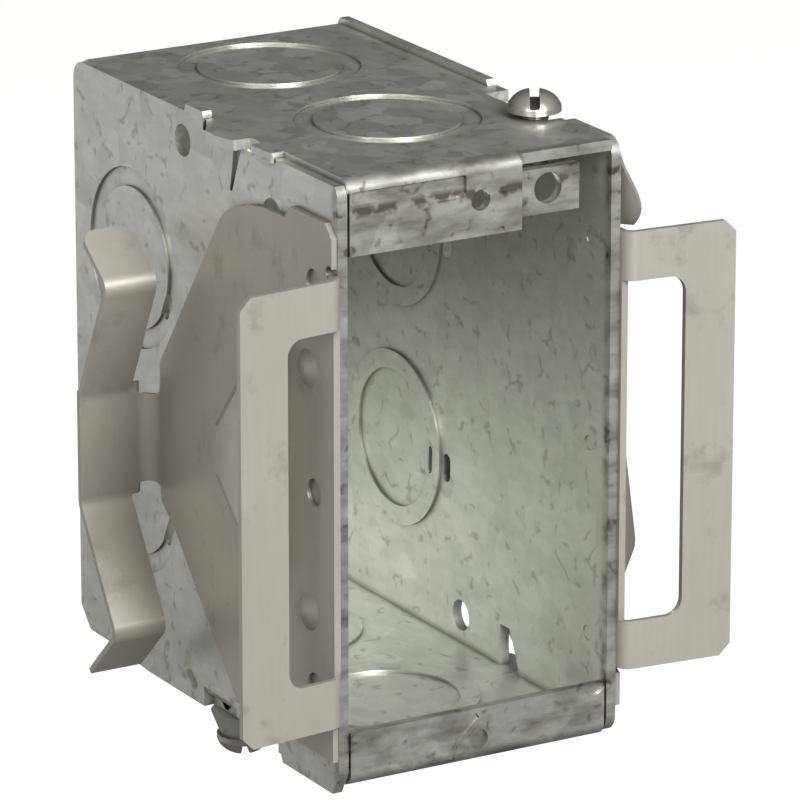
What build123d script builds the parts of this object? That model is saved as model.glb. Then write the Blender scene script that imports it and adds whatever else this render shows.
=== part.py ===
"""One-gang steel device box with removable side plates and two spring brackets.

Built the way the real box is made: one sheet is cut and folded into the top,
back and bottom walls with the device flanges, two side plates close it and are
held by one gang screw each, and a thin folded spring bracket is clinched to
the outside of each side plate. Measures are millimetres. The open front faces
-Y, depth runs along +Y and the origin is midway between the two device screws.
Pieces of the left side are drawn on the right and mirrored.
"""
import os
from math import asin, atan2, cos, degrees, radians, sin, tan

from build123d import *

# box body
box_width = 47.9
box_depth = 82.0
sheet = 1.6
bend_outside = 2.0

# device flanges at the open front
device_spacing = 83.34
device_hole = 3.2
device_hole_to_top = 6.03
device_hole_to_bottom = 3.63
top_flange_height = 11.5
bottom_flange_height = 8.5
flange_end_x = 7.0
flange_end_gap = 0.4
bead_depth = 0.6
bead_outline = ((-21.6, 1.9), (-2.4, 1.9), (-2.4, 4.6), (-3.6, 5.3), (-8.8, 5.3), (-10.2, 3.7), (-21.6, 3.7))
crease_width = 0.9
crease_depth = 0.3
crease_line = ((-0.2, 7.4), (-3.0, 4.8), (-5.0, 1.2))
dent_x = 20.2
dent_radius = 1.8
dent_depth = 0.4

# ground screw tab beside the top flange
ground_tab_end_x = 17.4
ground_tab_drop = 3.0
ground_tab_height = 6.9
ground_tab_set_back = 1.0
ground_hole = 4.7
ground_hole_x = 12.0
ground_hole_drop = 6.1

# knockouts, trade sizes 1/2 and 3/4
knockout_small = 22.2
knockout_large = 28.2
knockout_step = 0.45
knockout_pitch = 36.0
knockout_set_back = 4.0
side_knockouts_z = (20.6, -15.5)
pry_slot_length = 4.6
pry_slots = {"left": ((11.6, -27, 1.6),), "right": ((11.1, -3, 1.8), (15.7, -3, 2.2))}

# ganging ear of the top wall over the left plate, and of the bottom wall over the right one
ear_root = 4.0
ear_front_y = 18.5
ear_rear_y = 40.0
ear_outline = ((0.7, 18.5), (1.0, 24.2), (-1.2, 24.4), (-1.2, 27.4), (1.8, 27.6), (2.9, 30.4),
               (2.8, 34.4), (0.9, 37.4), (-0.4, 40.0))

# side plates
plate = 1.6
plate_corner = 3.0
seam_depth = 0.9
rear_cut = ((22.0, 0.0), (11.5, 0.9), (3.0, 1.0), (0.0, 4.4))
lip_slope = 1.2
lips = {
    "left": (("screw", 2.0, 17.0, 1.2), ("screw", 35.8, 39.2, 1.5), ("ear", 40.6, 45.6, 1.1)),
    "right": (("screw", 36.0, box_depth - 1.5, 0.9), ("ear", 40.6, 45.6, 1.1)),
}
slit_y = {"left": (27.9, 30.4), "right": (24.4, 31.0)}
slit_tip_y = {"left": (31.4, 32.1), "right": (28.2, 31.0)}
slit_depth = {"left": 8.9, "right": 8.3}
nail_hole = 5.0
nail_hole_y = {"left": 46.7, "right": 42.9}
nail_hole_drop = {"left": 4.75, "right": 6.1}
hang_hole = 5.6
hang_hole_y = 19.4
hang_hole_drop = 9.9
hook_slot = ((46.8, 6.5), (47.1, 4.6), (44.6, 2.7))
hook_slot_width = 1.9
mark_depth = 0.15

# gang screws and the tapped tabs they pull on
screw_x = 19.5
screw_y = {"left": 37.4, "right": 17.2}
screw_gap = {"left": 3.6, "right": 0.9}
screw_notch = {"left": (18.4, 40.4), "right": (14.2, 32.0)}
notch_inner_x = 19.8
boss_root_radius = 4.9
boss_tip_radius = 3.5
shank_radius = 2.05
head_radius = 4.05
head_height = 3.0
rim_height = 0.8
screw_length = 9.5
screw_chamfer = 0.5
driver_slot_width = 1.5
driver_slot_depth = 2.0
driver_slot_turn = {"left": 20, "right": -30}
screw_clearance = 0.3
tapped_tab_inner_x = 15.2
tapped_tab_width = 8.4
tab_relief_width = 2.0
tab_relief_height = 2.2

# spring brackets
bracket = 0.9
bracket_bend = 2.0
bracket_front_y = -1.8
bracket_rise = 4.4
tab_lean = 5.7
tab_reach = 42.0
tab_top = 33.7
tab_bottom = -34.7
tab_chamfer = 1.8
window_reach = 33.8
window_top = 26.1
window_bottom = -27.1
window_radius = 2.6
strip_front_y = -0.6
relief_radius = 1.0
corner_drop = {"left": 6.5, "right": 3.3}
corner_chamfer = 2.0
flare_crease_y = (1.2, 4.6)
flare_width = 5.0
flare_foot_rise = 1.1
flare_turn = 42
corner_rear_y = 12.4
plate_top_edge = ((14.2, 39.2), (20.4, 39.1), (24.4, 38.5), (29.4, 37.0), (32.0, 35.6), (33.6, 34.2))
plate_slope_end_z = (6.7, -15.3)
plate_bottom_edge = ((48.8, -18.8), (30.6, -39.3), (29.6, -40.3))
plate_bottom_end_y = 28.0

# flap lanced out of each bracket: distance from the plate, height
flap_y = 16.0
flap_outline = {
    "left": ((0.0, 26.0), (11.2, 8.4), (11.2, 1.0), (0.0, -27.0)),
    "right": ((0.0, 24.0), (11.1, -4.0), (13.4, -21.2), (13.3, -22.6), (11.4, -27.0), (0.0, -27.6)),
}
flap_gap = 0.3

# folded wing behind each bracket
wing_y = 55.8
wing_inner_x = 28.5
wing_outer_x = 37.2
wing_bend = 3.6
wing_web_top = 2.0
wing_web_bottom = -14.7
wing_slot_radius = 2.0
wing_slots_z = (3.2, -14.5)
wing_top_arm = ((55.0, 28.6), (46.2, 22.0))
wing_bottom_arm = ((44.6, -32.8), (53.4, -41.3))
wing_radius = 2.4
wing_corner = 2.6

# clinched joints and stiffening buttons of the brackets
clinch_y = 5.6
clinches_z = (31.4, -0.5, -30.6)
clinch_radius = 2.4
clinch_depth = 0.6
clinch_gap = 0.3
button_y = 7.3
buttons_z = (18.1, -19.4)
button_radius = 2.9
button_height = 0.8

# shared faces
device_z = device_spacing / 2
box_top = device_z + device_hole_to_top
box_bottom = -device_z - device_hole_to_bottom
box_height = box_top - box_bottom
box_middle = (box_top + box_bottom) / 2
knockouts_y = [box_depth / 2 + knockout_set_back + turn * knockout_pitch / 2 for turn in (-1, 1)]
flange_bottom = box_top - top_flange_height
lip_top = box_bottom + bottom_flange_height
plate_outside = box_width / 2
plate_inside = plate_outside - plate
bracket_outside = plate_outside + bracket
bracket_bottom = box_bottom + bracket_rise
wing_bend_y = wing_y + bracket - wing_bend


def put_hole(center, axis, radius, length):
    """Cut a round hole through the open builder, centred on a point."""
    with BuildSketch(Plane(origin=center, z_dir=axis)) as hole:
        Circle(radius)
    extrude(hole.sketch, amount=length / 2, both=True, mode=Mode.SUBTRACT)


def knockout(plane):
    """Half sheared double knockout: the ring sits inward, the disc stays flush."""
    for face, mode in ((plane, Mode.SUBTRACT), (plane.offset(-sheet), Mode.ADD)):
        with BuildSketch(face) as ring:
            Circle(knockout_large / 2)
            Circle(knockout_small / 2, mode=Mode.SUBTRACT)
        extrude(ring.sketch, amount=-knockout_step, mode=mode)


def fold(plane, points, radius, thickness, side, width):
    """Folded strip: the points run along its outer face, the radius is that face's."""
    with BuildSketch(plane) as profile:
        with BuildLine():
            FilletPolyline(*points, radius=radius)
            offset(amount=thickness, side=side)
        make_face()
    extrude(profile.sketch, amount=width)


def gang_screw(side):
    """Slotted round head screw, backed off from its wall by the gap of its side."""
    up = 1 if side == "right" else -1
    wall = box_top if side == "right" else box_bottom
    plane = Plane(origin=(up * screw_x, screw_y[side], wall + up * screw_gap[side]),
                  x_dir=(1, 0, 0), z_dir=(0, 0, up))
    with BuildPart() as screw:
        with BuildSketch(plane.rotated((90, 0, 0))):
            with BuildLine():
                Polyline((0, head_height), (0, 0), (head_radius, 0), (head_radius, rim_height))
                ThreePointArc((head_radius, rim_height), (0.68 * head_radius, 0.83 * head_height),
                              (0, head_height))
            make_face()
        revolve(axis=Axis(plane.origin, plane.z_dir))
        with BuildSketch(plane):
            Circle(shank_radius)
        extrude(amount=-screw_length)
        tip = screw.faces().sort_by(Axis(plane.origin, plane.z_dir))[0]
        chamfer(tip.edges(), screw_chamfer)
        with BuildSketch(plane.offset(head_height - driver_slot_depth)):
            Rectangle(driver_slot_width, 3 * head_radius, rotation=driver_slot_turn[side])
        extrude(amount=head_height, mode=Mode.SUBTRACT)
    screw.part.label = ("top" if side == "right" else "bottom") + "_gang_screw"
    return screw


# box body, one folded sheet
with BuildPart() as body:
    with BuildSketch(Plane.YZ):
        with Locations((box_depth / 2, box_middle)):
            RectangleRounded(box_depth, box_height, bend_outside)
            RectangleRounded(box_depth - 2 * sheet, box_height - 2 * sheet, bend_outside - sheet,
                             mode=Mode.SUBTRACT)
        with Locations((0, (flange_bottom + lip_top) / 2)):
            Rectangle(4 * sheet, flange_bottom - lip_top, mode=Mode.SUBTRACT)
    extrude(amount=plate_inside, both=True)

    # right of the device flange the top wall ends square
    open_width = plate_inside - flange_end_x
    open_middle = flange_end_x + open_width / 2
    with Locations((open_middle, bend_outside / 2, box_top - top_flange_height / 2)):
        Box(open_width, bend_outside, top_flange_height, mode=Mode.SUBTRACT)
    with Locations((open_middle, bend_outside / 2, box_top - sheet / 2)):
        Box(open_width, bend_outside, sheet)

    # ground screw tab, set back behind the flange
    tab_left_x = flange_end_x - sheet
    with BuildSketch(Plane.XZ.offset(-ground_tab_set_back)):
        with Locations((tab_left_x, box_top - ground_tab_drop)):
            Rectangle(ground_tab_end_x - tab_left_x, ground_tab_height, align=(Align.MIN, Align.MAX))
    extrude(amount=-sheet)
    put_hole((ground_hole_x, 0, box_top - ground_hole_drop), (0, 1, 0), ground_hole / 2, 4 * sheet)

    # stiffening bead beside the top device hole
    with BuildSketch(Plane.XZ):
        with BuildLine():
            FilletPolyline(*[(x, box_top - drop) for x, drop in bead_outline], radius=0.5, close=True)
        make_face()
    extrude(amount=-bead_depth, mode=Mode.SUBTRACT)

    # curved crease beside the bottom device hole and a dent in the edge of the lip
    with BuildSketch(Plane.XZ):
        with BuildLine():
            ThreePointArc(*[(x, box_bottom + rise) for x, rise in crease_line])
        trace(line_width=crease_width)
    extrude(amount=-crease_depth, mode=Mode.SUBTRACT)
    with BuildSketch(Plane.XZ):
        with Locations((dent_x, lip_top)):
            Circle(dent_radius)
    extrude(amount=-dent_depth, mode=Mode.SUBTRACT)

    # the flanges stop short of the side plates
    for side, z, height in ((-1, flange_bottom, top_flange_height - bend_outside),
                            (-1, box_bottom, bottom_flange_height), (1, box_bottom, bottom_flange_height)):
        with Locations((side * (plate_inside - flange_end_gap / 2), 0, z + height / 2)):
            Box(flange_end_gap, 2 * sheet, height, mode=Mode.SUBTRACT)
    for z in (device_z, -device_z):
        put_hole((0, 0, z), (0, 1, 0), device_hole / 2, 4 * sheet)

    # knockouts in the top and bottom walls
    for y in knockouts_y:
        knockout(Plane(origin=(0, y, box_top), z_dir=(0, 0, 1)))
        knockout(Plane(origin=(0, y, box_bottom), z_dir=(0, 0, -1)))

    # ganging ears, diagonally opposite
    for side, z in ((-1, box_top - sheet), (1, box_bottom)):
        outline = [(side * (plate_outside + out), y) for out, y in ear_outline]
        root_x = side * (plate_inside - ear_root)
        with BuildSketch(Plane.XY.offset(z)):
            with BuildLine():
                FilletPolyline((root_x, ear_front_y), *outline, (root_x, ear_rear_y), radius=0.7, close=True)
            make_face()
        extrude(amount=sheet)

    # open slot in front of and around the top gang screw
    front, rear = screw_notch["right"]
    with BuildSketch(Plane.XY.offset(box_top)):
        with Locations(((notch_inner_x + plate_inside) / 2, (front + rear) / 2)):
            Rectangle(plate_inside - notch_inner_x, rear - front)
        with Locations((screw_x, screw_y["right"])):
            Circle(shank_radius + screw_clearance)
    extrude(amount=2 * sheet, both=True, mode=Mode.SUBTRACT)

    # boss drawn down out of the bottom wall, on which the head of the bottom gang screw sits
    boss_taper = degrees(atan2(boss_root_radius - boss_tip_radius, screw_gap["left"]))
    for z, radius, mode in ((box_bottom, boss_root_radius, Mode.ADD),
                            (box_bottom + sheet, boss_root_radius - sheet, Mode.SUBTRACT)):
        with BuildSketch(Plane(origin=(-screw_x, screw_y["left"], z), z_dir=(0, 0, -1))) as ring:
            Circle(radius)
        extrude(ring.sketch, amount=screw_gap["left"], taper=boss_taper, mode=mode)
    put_hole((-screw_x, screw_y["left"], box_bottom), (0, 0, 1), shank_radius + screw_clearance, 6 * sheet)
body.part.label = "box_body"


def side_plate(side):
    """Flat side plate with knockouts, locating lips and the tapped tab of its gang screw."""
    up = 1 if side == "right" else -1
    screw_end = box_top if side == "right" else box_bottom
    ear_end = box_bottom if side == "right" else box_top
    notch_front, notch_rear = screw_notch[side]
    with BuildPart() as result:
        with BuildSketch(Plane.YZ.offset(plate_inside)):
            with Locations((box_depth / 2, box_middle)):
                RectangleRounded(box_depth, box_height, plate_corner)
            # lips that stand proud of the walls and locate the plate
            for end, y_from, y_to, rise in lips[side]:
                edge = screw_end if end == "screw" else ear_end
                out = up if end == "screw" else -up
                with BuildLine():
                    Polyline((y_from - lip_slope, edge - out), (y_from, edge + out * rise),
                             (y_to, edge + out * rise), (y_to + lip_slope, edge - out), close=True)
                make_face()
            # the ear of the body lies over this edge, with a slit behind its slot
            with Locations(((ear_front_y + ear_rear_y) / 2, ear_end)):
                Rectangle(ear_rear_y - ear_front_y + 2 * screw_clearance, 2 * sheet, mode=Mode.SUBTRACT)
            slit_end = ear_end + up * slit_depth[side]
            with BuildLine():
                Polyline((slit_y[side][0], ear_end), (slit_y[side][1], ear_end),
                         (slit_tip_y[side][1], slit_end), (slit_tip_y[side][0], slit_end), close=True)
            make_face(mode=Mode.SUBTRACT)
            # the tapped tab is turned in from this edge
            with Locations(((notch_front + notch_rear) / 2, screw_end)):
                Rectangle(notch_rear - notch_front, 2 * sheet, mode=Mode.SUBTRACT)
            if side == "left":
                # the top edge lies lower in front of the ear, and the rear bottom corner is trimmed
                with Locations((ear_front_y / 2, box_top)):
                    Rectangle(ear_front_y, 2 * seam_depth, mode=Mode.SUBTRACT)
                with BuildLine():
                    Polyline(*[(box_depth - ahead, box_bottom + rise) for ahead, rise in rear_cut],
                             (box_depth, box_bottom - sheet), close=True)
                make_face(mode=Mode.SUBTRACT)
        extrude(amount=plate)

        # tapped tab under the wall
        tab_face = screw_end - up * sheet
        with Locations((plate_outside, screw_y[side], tab_face)):
            Box(2 * plate, tapped_tab_width, 2 * plate, mode=Mode.SUBTRACT)
        tab_start = screw_y[side] + up * tapped_tab_width / 2
        fold(Plane(origin=(0, tab_start, 0), x_dir=(1, 0, 0), z_dir=(0, -up, 0)),
             ((plate_outside, up * (tab_face - up * 3 * plate)), (plate_outside, up * tab_face),
              (tapped_tab_inner_x, up * tab_face)),
             bend_outside, plate, Side.LEFT, tapped_tab_width)
        put_hole((screw_x, screw_y[side], tab_face), (0, 0, 1), shank_radius + screw_clearance, 4 * plate)
        with Locations((plate_inside, tab_start + up * tab_relief_width / 2, tab_face)):
            Box(4 * plate, tab_relief_width, 2 * tab_relief_height, mode=Mode.SUBTRACT)

        # knockouts with their pry slots
        for z in side_knockouts_z:
            knockout(Plane(origin=(plate_outside, knockouts_y[1], z), z_dir=(1, 0, 0)))
            for radius, turn, width in pry_slots[side]:
                slot_y = knockouts_y[1] - radius * cos(radians(turn))
                slot_z = z + radius * sin(radians(turn))
                with BuildSketch(Plane.YZ):
                    with Locations(Location((slot_y, slot_z), -turn)):
                        SlotOverall(pry_slot_length, width, rotation=90)
                extrude(amount=2 * plate_outside, mode=Mode.SUBTRACT)

        # nail hole, hanging hole and the hook slot
        put_hole((plate_outside, nail_hole_y[side], ear_end + up * nail_hole_drop[side]), (1, 0, 0),
                 nail_hole / 2, 4 * plate)
        if side == "left":
            put_hole((plate_outside, hang_hole_y, ear_end + up * hang_hole_drop), (1, 0, 0),
                     hang_hole / 2, 4 * plate)
        with BuildSketch(Plane.YZ.offset(plate_inside)):
            bends = [Vector(y, screw_end - up * drop) for y, drop in hook_slot]
            for start, end in zip(bends, bends[1:]):
                SlotCenterPoint((start + end) / 2, end, hook_slot_width)
        extrude(amount=plate, mode=Mode.SUBTRACT)

        # seats for the bracket clinches, with their marks on the inside
        for z in clinches_z:
            put_hole((plate_outside, clinch_y, z), (1, 0, 0), clinch_radius + clinch_gap,
                     2 * (clinch_depth + clinch_gap))
            put_hole((plate_inside, clinch_y, z), (1, 0, 0), clinch_radius / 2, 2 * mark_depth)
        if side == "left":
            mirror(about=Plane.YZ, mode=Mode.REPLACE)
    result.part.label = side + "_side_plate"
    return result


def spring_bracket(side):
    """One folded spring sheet: plate, C tab in front of the box, flap and wing."""
    corner = box_top - corner_drop[side]
    tab_start_y = bracket_front_y + bracket_bend
    if side == "left":
        front_corner = ((tab_start_y, corner - corner_chamfer), (tab_start_y + corner_chamfer, corner))
    else:
        front_corner = ((flare_crease_y[1], tab_top), (flare_crease_y[0], corner))
    with BuildPart() as result:
        # flat plate against the side plate, with the opening of its flap and the bend reliefs
        with BuildSketch(Plane.YZ.offset(plate_outside)):
            with BuildLine():
                Polyline((tab_start_y, window_top), (tab_start_y, tab_top), *front_corner,
                         (corner_rear_y, corner), *plate_top_edge,
                         *[(wing_bend_y, z) for z in plate_slope_end_z], *plate_bottom_edge,
                         (plate_bottom_end_y, bracket_bottom), (tab_start_y, bracket_bottom),
                         (tab_start_y, window_bottom), (strip_front_y, window_bottom),
                         (strip_front_y, window_top), close=True)
            make_face()
            with BuildLine():
                Polyline(*[(flap_y + flap_gap + out, z) for out, z in flap_outline[side]], close=True)
            make_face(mode=Mode.SUBTRACT)
            with Locations([(tab_start_y, z) for z in (tab_bottom, window_top, window_bottom)]):
                Circle(relief_radius, mode=Mode.SUBTRACT)
            if side == "left":
                with Locations((tab_start_y + 0.8 * relief_radius, tab_top + 0.4 * relief_radius)):
                    Circle(relief_radius, mode=Mode.SUBTRACT)
        extrude(amount=bracket)

        # front corner of the right bracket, flared outward above the C tab
        if side == "right":
            crease = Vector(0, flare_crease_y[0] - flare_crease_y[1], corner - tab_top)
            slope = -crease.Y / crease.length
            rise = crease.Z / crease.length
            turn = radians(flare_turn)
            flare = Plane(origin=(plate_outside, flare_crease_y[1], tab_top), x_dir=crease,
                          z_dir=(cos(turn), sin(turn) * rise, sin(turn) * slope))
            with BuildSketch(flare):
                with BuildLine():
                    edge = Spline((flare_foot_rise, 0.9 * flare_width),
                                  (0.3 * crease.length, flare_width),
                                  (0.7 * crease.length, 0.55 * flare_width),
                                  (crease.length, 0.1 * flare_width))
                    Polyline(edge @ 1, (crease.length, 0), (0, 0), edge @ 0)
                make_face()
            extrude(amount=bracket)

        # C tab with its window and trimmed corners
        tab_end_y = bracket_front_y - (tab_reach - plate_outside) * tan(radians(tab_lean))
        fold(Plane.XY.offset(tab_bottom),
             ((plate_outside, tab_start_y + relief_radius), (plate_outside, bracket_front_y),
              (tab_reach, tab_end_y)),
             bracket_bend, bracket, Side.LEFT, tab_top - tab_bottom)
        with BuildSketch(Plane.XZ.offset(-strip_front_y)):
            with Locations((window_reach - window_reach / 2, (window_top + window_bottom) / 2)):
                RectangleRounded(window_reach, window_top - window_bottom, window_radius)
        extrude(amount=2 * bracket_outside, mode=Mode.SUBTRACT)
        with BuildSketch(Plane.XZ):
            for z, out in ((tab_top, 1), (tab_bottom, -1)):
                with BuildLine():
                    Polyline((tab_reach - tab_chamfer, z), (tab_reach, z - out * tab_chamfer),
                             (tab_reach + bracket, z - out * tab_chamfer), (tab_reach + bracket, z + out),
                             (tab_reach - tab_chamfer, z + out), close=True)
                make_face()
        extrude(amount=2 * tab_reach, mode=Mode.SUBTRACT)

        # lanced flap, turned out square to the plate
        with BuildSketch(Plane.XZ.offset(-flap_y)):
            with BuildLine():
                Polyline(*[(plate_outside + out, z) for out, z in flap_outline[side]], close=True)
            make_face()
        extrude(amount=-bracket)

        # rear wing: bent web, then two arms folded back from it
        slot_top, slot_bottom = wing_slots_z
        fold(Plane.XY.offset(slot_bottom),
             ((plate_outside, wing_bend_y - bracket), (plate_outside, wing_y + bracket),
              (wing_outer_x, wing_y + bracket)),
             wing_bend, bracket, Side.RIGHT, slot_top - slot_bottom)
        for z in wing_slots_z:
            put_hole((plate_outside + wing_bend / 3, wing_y + bracket - wing_bend / 3, z), (1, 1, 0),
                     wing_slot_radius, wing_bend)
        fold(Plane.YZ.offset(wing_inner_x),
             (*wing_top_arm, (wing_y, wing_web_top), (wing_y, wing_web_bottom), *wing_bottom_arm),
             wing_radius, bracket, Side.LEFT, wing_outer_x - wing_inner_x)
        for x in (wing_inner_x, wing_outer_x):
            ends = result.edges().filter_by(lambda edge: abs(edge.length - bracket) < 0.01)
            fillet(ends.sort_by_distance(Vector(x, *wing_top_arm[0]))[0], wing_corner)

        # clinches into the side plate and stiffening buttons
        for z in clinches_z:
            for face, radius, mode in ((plate_outside, clinch_radius, Mode.ADD),
                                       (bracket_outside, clinch_radius - clinch_gap, Mode.SUBTRACT)):
                with BuildSketch(Plane(origin=(face, clinch_y, z), z_dir=(-1, 0, 0))):
                    Circle(radius)
                extrude(amount=clinch_depth, taper=10, mode=mode)
        ball_radius = (button_radius ** 2 + button_height ** 2) / (2 * button_height)
        for z in buttons_z:
            button = Plane(origin=(bracket_outside, button_y, z), x_dir=(0, 1, 0), z_dir=(0, 0, -1))
            with BuildSketch(button):
                with BuildLine():
                    Polyline((0, button_height), (0, 0), (button_radius, 0))
                    CenterArc((0, button_height - ball_radius), ball_radius, 90,
                              -degrees(asin(button_radius / ball_radius)))
                make_face()
            revolve(axis=Axis(button.origin, button.y_dir))
        if side == "left":
            mirror(about=Plane.YZ, mode=Mode.REPLACE)
    result.part.label = side + "_bracket"
    return result


pieces = [body]
for side in ("left", "right"):
    pieces.append(side_plate(side))
    pieces.append(spring_bracket(side))
    pieces.append(gang_screw(side))

os.makedirs("parts", exist_ok=True)
for piece in pieces:
    export_step(piece.part, "parts/" + piece.part.label + ".step")
    print(piece.part.label, "solids", len(piece.part.solids()), "volume", round(piece.part.volume, 1))
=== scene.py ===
# %% [markdown]
# # A galvanised steel device box
# The solids of this box come from its CAD model. Here they get the finish of the
# real metal, the screws get their threads, and a plain studio is set up round them.

# %% Load the CAD nodes
from math import radians

import bpy
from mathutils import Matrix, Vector


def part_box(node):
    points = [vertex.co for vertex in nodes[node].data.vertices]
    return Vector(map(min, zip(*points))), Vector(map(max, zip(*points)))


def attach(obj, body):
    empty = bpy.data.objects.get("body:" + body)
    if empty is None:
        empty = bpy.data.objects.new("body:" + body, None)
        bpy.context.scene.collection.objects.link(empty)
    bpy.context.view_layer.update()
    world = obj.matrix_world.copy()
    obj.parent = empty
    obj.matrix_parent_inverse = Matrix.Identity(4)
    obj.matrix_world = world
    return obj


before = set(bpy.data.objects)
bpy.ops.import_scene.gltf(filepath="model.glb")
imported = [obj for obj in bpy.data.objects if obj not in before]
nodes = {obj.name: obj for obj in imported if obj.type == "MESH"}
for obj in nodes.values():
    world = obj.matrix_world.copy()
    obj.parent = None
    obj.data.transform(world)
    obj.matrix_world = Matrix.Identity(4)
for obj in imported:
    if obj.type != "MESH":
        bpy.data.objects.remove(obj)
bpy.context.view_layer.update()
print("nodes", sorted(nodes))

MM = 0.001


# %% [markdown]
# Every material below is a small graph of shader nodes. Two helpers keep the graphs
# short to read. One turns a colour written as on a paint card (sRGB hex) into the
# linear values that the renderer works in. The other adds a node, sets its settings
# and fills its inputs, with a number, a colour or another node's output. A colour mix
# has its factor in input 0 and its two colours in inputs 6 and 7, and gives output 2.

# %% Colours and graph helpers
def linear(code):
    parts = [int(code[i:i + 2], 16) / 255 for i in (1, 3, 5)]
    return [c / 12.92 if c <= 0.04045 else ((c + 0.055) / 1.055) ** 2.4 for c in parts] + [1.0]


def add(tree, kind, inputs=None, **settings):
    made = tree.nodes.new(kind)
    for name, value in settings.items():
        setattr(made, name, value)
    for socket, value in (inputs or {}).items():
        target = made.inputs[socket]
        if isinstance(value, bpy.types.NodeSocket):
            tree.links.new(value, target)
        else:
            target.default_value = value
    return made


def new_material(name):
    material = bpy.data.materials.new(name)
    material.use_nodes = True
    tree = material.node_tree
    tree.nodes.clear()
    return material, tree


# %% [markdown]
# The box and its side plates are hot-dip galvanised sheet. The zinc freezes in
# crystals, the spangle, which are a few millimetres across and each a little lighter
# or darker than the next. Voronoi cells make them, because they are flat patches with
# sharp borders, and stretched noise adds the streaks of the rolling direction. Short
# dark dashes sit on the crystal borders here and there. Handling rubs the front rim
# dark, and a ragged dark band runs along the top flange. Painted shade darkens the
# seams and the knockout grooves, which the ambient occlusion node finds. All pattern
# scales are one over a size in metres.

# %% Galvanised sheet
SPANGLE = 4.0 * MM
WOBBLE_SIZE, WOBBLE_REACH = 3 * MM, 3.2 * MM
STREAK = 2.0 * MM
CLOUD = 16 * MM
DASH_SPACING = 4.6 * MM
DASH_LENGTH = 2.6 * MM
RIM_START, RIM_END = 0.8 * MM, 2.4 * MM
RUB_MARK = 3.5 * MM
DARK_BAND_HEIGHT = 42.8 * MM
DARK_BAND_CORE, DARK_BAND_REACH = 0.4 * MM, 1.9 * MM
SEAM_REACH = 1.2 * MM
DENT = 4.5 * MM
STREAK_DEPTH, DENT_DEPTH = 0.10 * MM, 0.15 * MM


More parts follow.
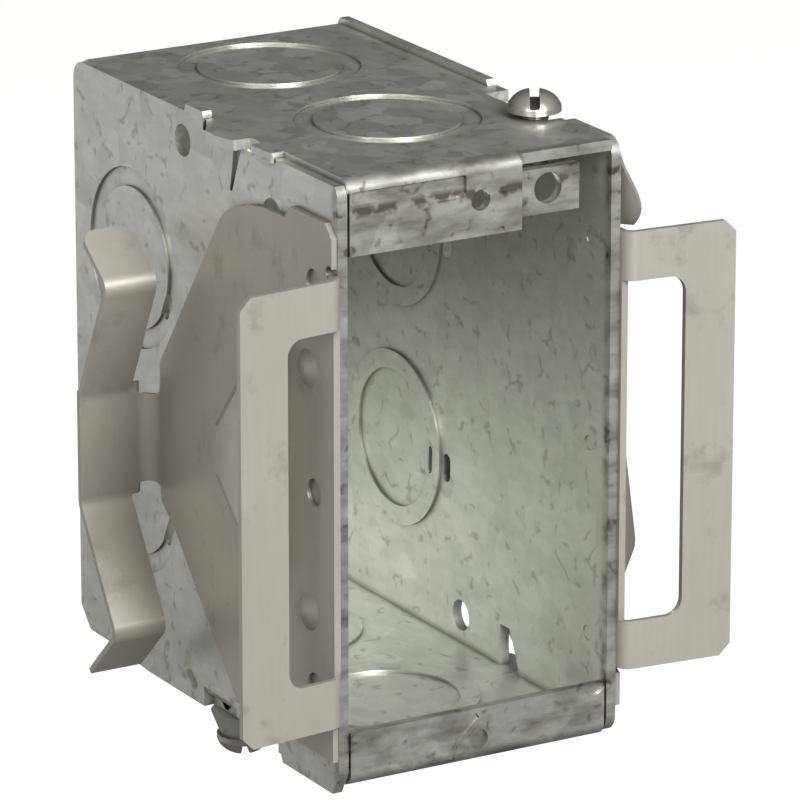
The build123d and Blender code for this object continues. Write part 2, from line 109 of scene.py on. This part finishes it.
def galvanised_sheet(name, light, dark, soil_and_shade_colour, metallic, roughness):
    material, tree = new_material(name)
    place = add(tree, "ShaderNodeTexCoord").outputs["Object"]
    # The borders of the crystals wander, so the place is shifted by a fine noise.
    warp = add(tree, "ShaderNodeTexNoise", {"Vector": place, "Scale": 1 / WOBBLE_SIZE, "Detail": 2.0})
    wobble = add(tree, "ShaderNodeVectorMath", {0: warp.outputs["Color"], 1: (0.5, 0.5, 0.5)},
                 operation="SUBTRACT")
    shift = add(tree, "ShaderNodeVectorMath", {0: wobble.outputs[0], "Scale": WOBBLE_REACH},
                operation="SCALE")
    bent = add(tree, "ShaderNodeVectorMath", {0: place, 1: shift.outputs[0]}, operation="ADD")

    # The zinc: crystals, streaks and wide clouds add up to one tone.
    crystals = add(tree, "ShaderNodeTexVoronoi", {"Vector": bent.outputs[0], "Scale": 1 / SPANGLE})
    crystal = add(tree, "ShaderNodeSeparateColor", {"Color": crystals.outputs["Color"]})
    squeeze = add(tree, "ShaderNodeMapping", {"Vector": place, "Scale": (1.0, 0.35, 1.0)})
    streaks = add(tree, "ShaderNodeTexNoise", {"Vector": squeeze.outputs[0], "Scale": 1 / STREAK,
                                               "Detail": 4.0, "Roughness": 0.6})
    clouds = add(tree, "ShaderNodeTexNoise", {"Vector": place, "Scale": 1 / CLOUD, "Detail": 3.0})
    tone = add(tree, "ShaderNodeMath", {0: crystal.outputs[0], 1: 0.20, 2: -0.02},
               operation="MULTIPLY_ADD")
    tone = add(tree, "ShaderNodeMath", {0: streaks.outputs["Fac"], 1: 0.60, 2: tone.outputs[0]},
               operation="MULTIPLY_ADD")
    tone = add(tree, "ShaderNodeMath", {0: clouds.outputs["Fac"], 1: 0.45, 2: tone.outputs[0]},
               operation="MULTIPLY_ADD")
    colour = add(tree, "ShaderNodeMix", {0: tone.outputs[0], 6: linear(dark), 7: linear(light)},
                 data_type="RGBA")

    # The dashes: pieces of the crystal borders, where a second noise lets them through.
    borders = add(tree, "ShaderNodeTexVoronoi", {"Vector": bent.outputs[0], "Scale": 1 / DASH_SPACING},
                  feature="DISTANCE_TO_EDGE")
    thin = add(tree, "ShaderNodeMapRange", {"Value": borders.outputs["Distance"], "From Min": 0.02,
                                            "From Max": 0.10, "To Min": 1.0, "To Max": 0.0})
    gate = add(tree, "ShaderNodeTexNoise", {"Vector": place, "Scale": 1 / DASH_LENGTH, "Detail": 1.0})
    some = add(tree, "ShaderNodeMapRange", {"Value": gate.outputs["Fac"], "From Min": 0.57,
                                            "From Max": 0.66})
    dashes = add(tree, "ShaderNodeMath", {0: thin.outputs[0], 1: some.outputs[0]}, operation="MULTIPLY")

    # The front rim, where hands and tools rub, with marks drawn out along X.
    spot = add(tree, "ShaderNodeSeparateXYZ", {"Vector": place})
    rim = add(tree, "ShaderNodeMapRange", {"Value": spot.outputs["Y"], "From Min": RIM_START,
                                           "From Max": RIM_END, "To Min": 1.0, "To Max": 0.0},
              interpolation_type="SMOOTHSTEP")
    wide = add(tree, "ShaderNodeMapping", {"Vector": place, "Scale": (0.30, 1.0, 1.0)})
    rub = add(tree, "ShaderNodeTexNoise", {"Vector": wide.outputs[0], "Scale": 1 / RUB_MARK,
                                           "Detail": 4.0, "Roughness": 0.55})
    wear_and_dark_band = add(tree, "ShaderNodeMapRange", {"Value": rub.outputs["Fac"], "From Min": 0.42,
                                            "From Max": 0.66, "To Min": 0.22, "To Max": 0.75})
    # A ragged dark band runs along the lower edge of the dent in the top flange.
    away = add(tree, "ShaderNodeMath", {0: spot.outputs["Z"], 1: DARK_BAND_HEIGHT}, operation="SUBTRACT")
    away = add(tree, "ShaderNodeMath", {0: away.outputs[0]}, operation="ABSOLUTE")
    row = add(tree, "ShaderNodeMapRange", {"Value": away.outputs[0], "From Min": DARK_BAND_CORE,
                                           "From Max": DARK_BAND_REACH, "To Min": 0.9, "To Max": 0.0})
    ragged = add(tree, "ShaderNodeMapRange", {"Value": warp.outputs["Fac"], "From Min": 0.40,
                                              "From Max": 0.56})
    dark_band = add(tree, "ShaderNodeMath", {0: row.outputs[0], 1: ragged.outputs[0]}, operation="MULTIPLY")
    wear_and_dark_band = add(tree, "ShaderNodeMath", {0: wear_and_dark_band.outputs[0], 1: dark_band.outputs[0]}, operation="MAXIMUM")
    rim = add(tree, "ShaderNodeMath", {0: rim.outputs[0], 1: wear_and_dark_band.outputs[0]}, operation="MULTIPLY")

    # Painted shade in seams and grooves, from ambient occlusion. The strongest of all these marks wins.
    shelter = add(tree, "ShaderNodeAmbientOcclusion", {"Distance": SEAM_REACH}, samples=3)
    seam_shade = add(tree, "ShaderNodeMapRange", {"Value": shelter.outputs["AO"], "From Min": 0.35,
                                             "From Max": 0.85, "To Min": 0.80, "To Max": 0.0})
    soil_and_shade = add(tree, "ShaderNodeMath", {0: dashes.outputs[0], 1: 0.34, 2: rim.outputs[0]},
               operation="MULTIPLY_ADD")
    soil_and_shade = add(tree, "ShaderNodeMath", {0: soil_and_shade.outputs[0], 1: seam_shade.outputs[0]}, operation="MAXIMUM")
    dirty_and_shaded = add(tree, "ShaderNodeMix", {0: soil_and_shade.outputs[0], 6: colour.outputs[2], 7: linear(soil_and_shade_colour)},
                data_type="RGBA")

    # Each crystal has its own shine, and the sheet is slightly uneven from dipping and folding.
    dull = add(tree, "ShaderNodeMath", {0: crystal.outputs[1], 1: 0.10, 2: roughness},
               operation="MULTIPLY_ADD")
    dents = add(tree, "ShaderNodeTexNoise", {"Vector": place, "Scale": 1 / DENT, "Detail": 1.0})
    grain = add(tree, "ShaderNodeBump", {"Height": streaks.outputs["Fac"], "Distance": STREAK_DEPTH,
                                         "Strength": 0.5})
    bumps = add(tree, "ShaderNodeBump", {"Height": dents.outputs["Fac"], "Distance": DENT_DEPTH,
                                         "Strength": 0.35, "Normal": grain.outputs[0]})
    surface = add(tree, "ShaderNodeBsdfPrincipled", {"Base Color": dirty_and_shaded.outputs[2], "Metallic": metallic,
                                                     "Roughness": dull.outputs[0],
                                                     "Normal": bumps.outputs[0]})
    add(tree, "ShaderNodeOutputMaterial", {"Surface": surface.outputs[0]})
    return material


# Steel dipped in molten zinc: bright, but weathered too dull for a full mirror.
sheet_zinc = galvanised_sheet("hot_dip_galvanised_steel", "#eeefea", "#b6b8b1", "#5c5750", 0.88, 0.36)
print("galvanised sheet", len(sheet_zinc.node_tree.nodes), "nodes")


# %% [markdown]
# The brackets are thinner spring strip, bought already galvanised and rolled smooth.
# The zinc is finer there, so no crystals show, only faint rolling lines and a satin
# shine that is half metal, half grey skin. It has smudges from handling, and painted
# shade darkens the skin where another part of the bracket shelters it. The gang screws
# have the same kind of surface, plated instead of rolled, so they are brighter and smoother.

# %% Bracket strip and screw plating
ROLLING_LINE = 0.8 * MM
LINE_DEPTH = 0.03 * MM
STRIP_CLOUD = 14 * MM
SMUDGE = 6 * MM
SHELTER_REACH = 14 * MM


def rolled_strip(name, light, dark, soil_and_shade_colour, metallic, roughness):
    material, tree = new_material(name)
    place = add(tree, "ShaderNodeTexCoord").outputs["Object"]
    squeeze = add(tree, "ShaderNodeMapping", {"Vector": place, "Scale": (1.0, 1.0, 0.08)})
    lines = add(tree, "ShaderNodeTexNoise", {"Vector": squeeze.outputs[0], "Scale": 1 / ROLLING_LINE,
                                             "Detail": 3.0})
    clouds = add(tree, "ShaderNodeTexNoise", {"Vector": place, "Scale": 1 / STRIP_CLOUD, "Detail": 3.0})
    tone = add(tree, "ShaderNodeMath", {0: lines.outputs["Fac"], 1: 0.4, 2: 0.0},
               operation="MULTIPLY_ADD")
    tone = add(tree, "ShaderNodeMath", {0: clouds.outputs["Fac"], 1: 0.6, 2: tone.outputs[0]},
               operation="MULTIPLY_ADD")
    colour = add(tree, "ShaderNodeMix", {0: tone.outputs[0], 6: linear(dark), 7: linear(light)},
                 data_type="RGBA")
    smudge = add(tree, "ShaderNodeTexNoise", {"Vector": place, "Scale": 1 / SMUDGE, "Detail": 5.0,
                                              "Roughness": 0.6})
    marks = add(tree, "ShaderNodeMapRange", {"Value": smudge.outputs["Fac"], "From Min": 0.58,
                                             "From Max": 0.72, "To Min": 0.0, "To Max": 0.30})
    # Painted shade: the skin is darkened where other parts of the bracket are near.
    shelter = add(tree, "ShaderNodeAmbientOcclusion", {"Distance": SHELTER_REACH}, samples=3)
    shelter_shade = add(tree, "ShaderNodeMapRange", {"Value": shelter.outputs["AO"], "From Min": 0.30,
                                              "From Max": 0.90, "To Min": 0.62, "To Max": 0.0})
    soil_and_shade = add(tree, "ShaderNodeMath", {0: marks.outputs[0], 1: shelter_shade.outputs[0]}, operation="MAXIMUM")
    dirty_and_shaded = add(tree, "ShaderNodeMix", {0: soil_and_shade.outputs[0], 6: colour.outputs[2], 7: linear(soil_and_shade_colour)},
                data_type="RGBA")
    grain = add(tree, "ShaderNodeBump", {"Height": lines.outputs["Fac"], "Distance": LINE_DEPTH,
                                         "Strength": 0.4})
    surface = add(tree, "ShaderNodeBsdfPrincipled", {"Base Color": dirty_and_shaded.outputs[2], "Metallic": metallic,
                                                     "Roughness": roughness, "Normal": grain.outputs[0]})
    add(tree, "ShaderNodeOutputMaterial", {"Surface": surface.outputs[0]})
    return material


# Strip galvanised before it was rolled to size, which leaves a satin skin.
strip_zinc = rolled_strip("pre_galvanised_strip", "#bdbab2", "#a9a69e", "#4e4a43", 0.55, 0.42)
# Screws barrel plated with a thin bright zinc.
screw_zinc = rolled_strip("bright_zinc_plate", "#d8d6d0", "#b6b5af", "#4e4a43", 0.85, 0.28)


# %% [markdown]
# The CAD nodes keep their own meshes. Only their material slots are set.

# %% Finish the CAD nodes
finishes = {"box_body": sheet_zinc, "left_side_plate": sheet_zinc, "right_side_plate": sheet_zinc,
            "left_bracket": strip_zinc, "right_bracket": strip_zinc,
            "top_gang_screw": screw_zinc, "bottom_gang_screw": screw_zinc}
for name, material in finishes.items():
    nodes[name].data.materials.clear()
    nodes[name].data.materials.append(material)
print("finished", len(finishes), "nodes")


# %% [markdown]
# The CAD screws have plain shanks. A machine screw of this size is rolled with 32
# turns to the inch, so its crests stand 0.79 mm apart. One Geometry Nodes tree makes
# the thread: a spiral curve carries a small round profile from the tip to near the
# head, and the same tree serves both screws, with the shank's own place as an input.

# %% The thread's tree
thread = bpy.data.node_groups.new("rolled thread", "GeometryNodeTree")
for name, kind in (("Start", "Vector"), ("Radius", "Float"), ("Length", "Float"), ("Pitch", "Float"),
                   ("Crest", "Float"), ("Material", "Material")):
    thread.interface.new_socket(name, in_out="INPUT", socket_type="NodeSocket" + kind)
thread.interface.new_socket("Geometry", in_out="OUTPUT", socket_type="NodeSocketGeometry")
given = add(thread, "NodeGroupInput").outputs
turns = add(thread, "ShaderNodeMath", {0: given["Length"], 1: given["Pitch"]}, operation="DIVIDE")
path = add(thread, "GeometryNodeCurveSpiral", {"Resolution": 20, "Rotations": turns.outputs[0],
                                               "Start Radius": given["Radius"],
                                               "End Radius": given["Radius"],
                                               "Height": given["Length"]})
ridge = add(thread, "GeometryNodeCurvePrimitiveCircle", {"Resolution": 6, "Radius": given["Crest"]})
swept = add(thread, "GeometryNodeCurveToMesh", {"Curve": path.outputs[0],
                                                "Profile Curve": ridge.outputs[0], "Fill Caps": True})
placed = add(thread, "GeometryNodeTransform", {"Geometry": swept.outputs[0], "Translation": given["Start"]})
real = add(thread, "GeometryNodeRealizeInstances", {"Geometry": placed.outputs[0]})
coated = add(thread, "GeometryNodeSetMaterial", {"Geometry": real.outputs[0],
                                                 "Material": given["Material"]})
add(thread, "NodeGroupOutput", {"Geometry": coated.outputs[0]})
print("thread tree", len(thread.nodes), "nodes")


# %% [markdown]
# The spiral runs just inside the shank, so that only its crests stand out, and they
# stay clear of the holes that the screw passes. The top screw has its head up and the
# bottom one hangs head down, so the thread starts from whichever end is the tip.

# %% Thread both screws
THREAD_PITCH = 0.79 * MM
THREAD_LENGTH = 8.6 * MM
SPIRAL_RADIUS = 1.98 * MM
CREST_RADIUS = 0.26 * MM
TIP_GAP = 0.4 * MM


def cut_thread(screw):
    low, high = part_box(screw)
    head_up = high[2] > 0
    start_z = low[2] + TIP_GAP if head_up else high[2] - TIP_GAP - THREAD_LENGTH
    sizes = {"Start": Vector(((low[0] + high[0]) / 2, (low[1] + high[1]) / 2, start_z)),
             "Radius": SPIRAL_RADIUS, "Length": THREAD_LENGTH, "Pitch": THREAD_PITCH,
             "Crest": CREST_RADIUS, "Material": screw_zinc}
    holder = bpy.data.objects.new(screw + "_thread", bpy.data.meshes.new(screw + "_thread"))
    bpy.context.scene.collection.objects.link(holder)
    modifier = holder.modifiers.new("thread", "NODES")
    modifier.node_group = thread
    for item in thread.interface.items_tree:
        if item.in_out == "INPUT":
            modifier[item.identifier] = sizes[item.name]
    shaped = holder.evaluated_get(bpy.context.evaluated_depsgraph_get())
    plain = bpy.data.meshes.new_from_object(shaped)
    holder.modifiers.remove(modifier)
    holder.data = plain
    for face in plain.polygons:
        face.use_smooth = True
    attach(holder, "root")
    print(holder.name, len(plain.polygons), "faces")


cut_thread("top_gang_screw")
cut_thread("bottom_gang_screw")


# %% [markdown]
# The floor is a sheet of white paper. It lies well below the box, which hangs in a
# wall when it is used, so only a faint shadow reaches it. Seen by the camera it is
# lit up to white. In reflections its lit colour is black and it glows with a painted
# reflection instead: bright ahead and behind, and dark in between. That painted
# reflection gives the folded sheets their separate tones.

# %% Floor
FLOOR_Z = -0.20
FLOOR_HALF = 6
CAMERA_GLOW = 0.80
AHEAD = (0.5, -0.85, 0.0)
corners = [(x * FLOOR_HALF, y * FLOOR_HALF, FLOOR_Z) for x, y in ((-1, -1), (1, -1), (1, 1), (-1, 1))]
mesh = bpy.data.meshes.new("floor")
mesh.from_pydata(corners, [], [(0, 1, 2, 3)])
floor = bpy.data.objects.new("floor", mesh)
bpy.context.scene.collection.objects.link(floor)
material, tree = new_material("white_paper")
seen = add(tree, "ShaderNodeLightPath")
ground = add(tree, "ShaderNodeTexCoord").outputs["Object"]
ahead = add(tree, "ShaderNodeVectorMath", {0: ground, 1: AHEAD}, operation="DOT_PRODUCT")
along = add(tree, "ShaderNodeMapRange", {"Value": ahead.outputs["Value"], "From Min": -0.7,
                                         "From Max": 0.7})
# Painted reflection: the level that the paper glows at, for glossy rays only.
painted_sheen = add(tree, "ShaderNodeValToRGB", {"Fac": along.outputs[0]})
painted_sheen.color_ramp.elements.new(0.30)
painted_sheen.color_ramp.elements.new(0.55)
for stop, level in zip(painted_sheen.color_ramp.elements, (0.60, 0.12, 0.10, 0.36)):
    stop.color = (level, level, level, 1.0)
painted_reflection = add(tree, "ShaderNodeMath", {0: seen.outputs["Is Glossy Ray"], 1: painted_sheen.outputs[0]},
             operation="MULTIPLY")
glow = add(tree, "ShaderNodeMath", {0: seen.outputs["Is Camera Ray"], 1: CAMERA_GLOW, 2: painted_reflection.outputs[0]},
           operation="MULTIPLY_ADD")
shade = add(tree, "ShaderNodeMix", {0: seen.outputs["Is Glossy Ray"], 6: linear("#a8a8a6"),
                                    7: linear("#000000")}, data_type="RGBA")
paper = add(tree, "ShaderNodeBsdfDiffuse", {"Color": shade.outputs[2]})
shine = add(tree, "ShaderNodeEmission", {"Color": (1, 1, 1, 1), "Strength": glow.outputs[0]})
both = add(tree, "ShaderNodeAddShader", {0: paper.outputs[0], 1: shine.outputs[0]})
add(tree, "ShaderNodeOutputMaterial", {"Surface": both.outputs[0]})
mesh.materials.append(material)
print("floor at", FLOOR_Z)


# %% [markdown]
# The room is a soft grey that gets lighter towards the front and left. It fills the
# shadows and gives the metal something to reflect.

# %% Room
LIGHT_SIDE = (-0.30, -0.75, 0.45)
world = bpy.data.worlds.new("room")
bpy.context.scene.world = world
world.use_nodes = True
tree = world.node_tree
tree.nodes.clear()
facing = add(tree, "ShaderNodeTexCoord").outputs["Generated"]
front = add(tree, "ShaderNodeVectorMath", {0: facing, 1: LIGHT_SIDE}, operation="DOT_PRODUCT")
bright = add(tree, "ShaderNodeMapRange", {"Value": front.outputs["Value"], "From Min": -0.6,
                                          "From Max": 0.9, "To Min": 0.05, "To Max": 0.42},
             interpolation_type="SMOOTHSTEP")
room = add(tree, "ShaderNodeBackground", {"Color": (1.0, 0.99, 0.965, 1.0), "Strength": bright.outputs[0]})
add(tree, "ShaderNodeOutputWorld", {"Surface": room.outputs[0]})
print("room", len(tree.nodes), "nodes")


# %% [markdown]
# Two soft lamps. The softbox stands in front of the opening and above it, so its light
# reaches down to the back corner of the box and leaves the upper part in shade. The
# weaker side lamp lights the left wall and the folded wings.

# %% Lamps
def lamp(name, place, aim, side, power):
    light = bpy.data.lights.new(name, "AREA")
    light.shape = "SQUARE"
    light.size = side
    light.energy = power
    holder = bpy.data.objects.new(name, light)
    bpy.context.scene.collection.objects.link(holder)
    holder.location = place
    holder.rotation_euler = (Vector(aim) - Vector(place)).to_track_quat("-Z", "Y").to_euler()
    print(name, power, "W")


lamp("softbox", (-0.06, -1.26, 0.80), (0, 0, 0), 0.6, 32)
lamp("side lamp", (-1.11, -0.78, 0.63), (0, 0, 0), 0.5, 5.5)


# %% [markdown]
# The camera stands where the photographer's did, to the left of the open front and a
# little above it, with a long lens.

# %% Camera
AZIMUTH, ELEVATION = -30.208, 17.527
camera = bpy.data.cameras.new("camera")
camera.lens = 291.3
camera.sensor_width = 36
camera.clip_start = 0.05
camera.clip_end = 20
holder = bpy.data.objects.new("camera", camera)
bpy.context.scene.collection.objects.link(holder)
holder.location = (-0.46522, -0.77572, 0.29689)
holder.rotation_euler = (radians(90 - ELEVATION), 0, radians(AZIMUTH))
bpy.context.scene.camera = holder
bpy.context.scene.view_settings.view_transform = "Standard"
print("camera", tuple(round(v, 3) for v in holder.location))
